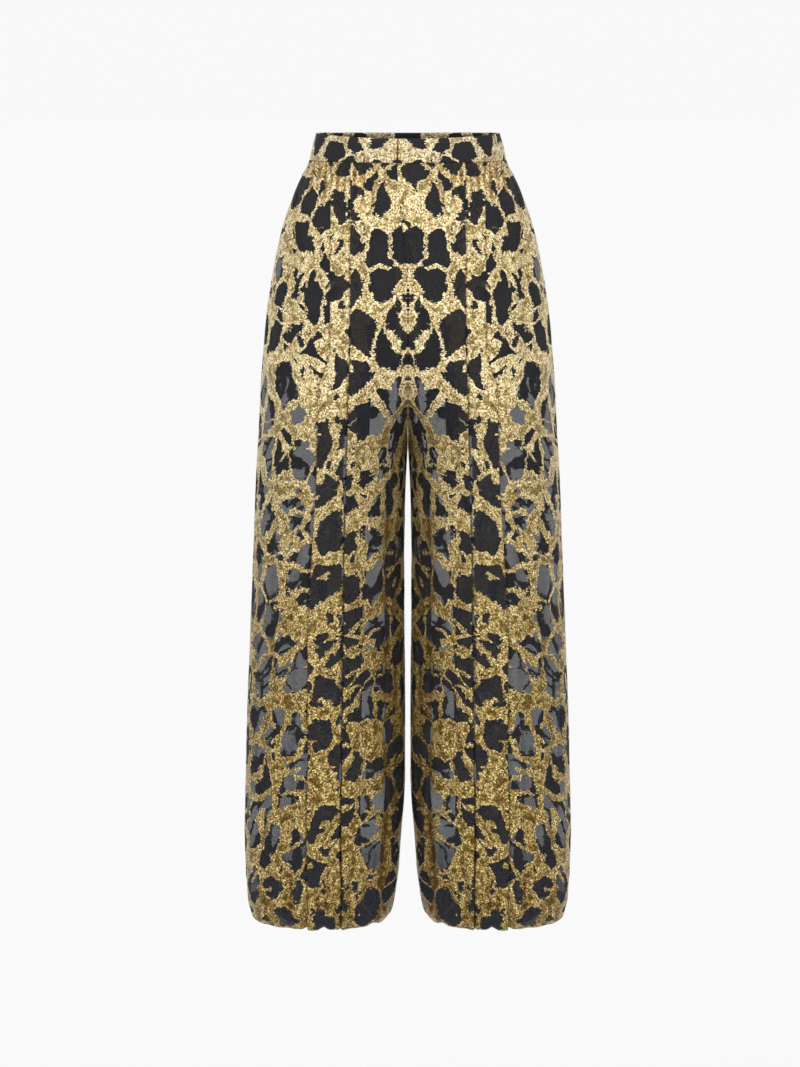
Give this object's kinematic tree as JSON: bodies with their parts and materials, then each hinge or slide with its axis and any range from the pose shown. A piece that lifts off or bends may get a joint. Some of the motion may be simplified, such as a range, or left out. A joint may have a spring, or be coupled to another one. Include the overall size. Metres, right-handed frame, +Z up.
{
  "type": "harem pants",
  "caption": "High-waisted harem pants with a dropped crotch, knife-pleated sheer balloon legs, turned-under gathered hems and opaque lining shorts.",
  "frame": {"origin": "the middle of the waist, at half the height of the waistband, where the wearer holds the trousers up", "axes": "+Z up out of the waist, the front faces -Y, and the wearer's left side is at +X"},
  "size_m": [0.4404, 0.2565, 1.062],
  "materials": {
    "sheer_cloth": "sheer black crepe chiffon with a crinkled metallic gold network",
    "band_cloth": "the same cloth on an opaque black backing",
    "black_lining": "matt opaque black lining"
  },
  "bodies": {
    "root": {"waistband_front_left": "band_cloth", "waistband_front_right": "band_cloth", "waistband_back": "band_cloth", "waistband_facing_front_left": "band_cloth", "waistband_facing_front_right": "band_cloth", "waistband_facing_back": "band_cloth", "front_left": "sheer_cloth", "front_right": "sheer_cloth", "back_left": "sheer_cloth", "back_right": "sheer_cloth", "ankle_band_left": "band_cloth", "ankle_band_right": "band_cloth", "lining_front_left": "black_lining", "lining_front_right": "black_lining", "lining_back_left": "black_lining", "lining_back_right": "black_lining"}
  },
  "joints": []
}
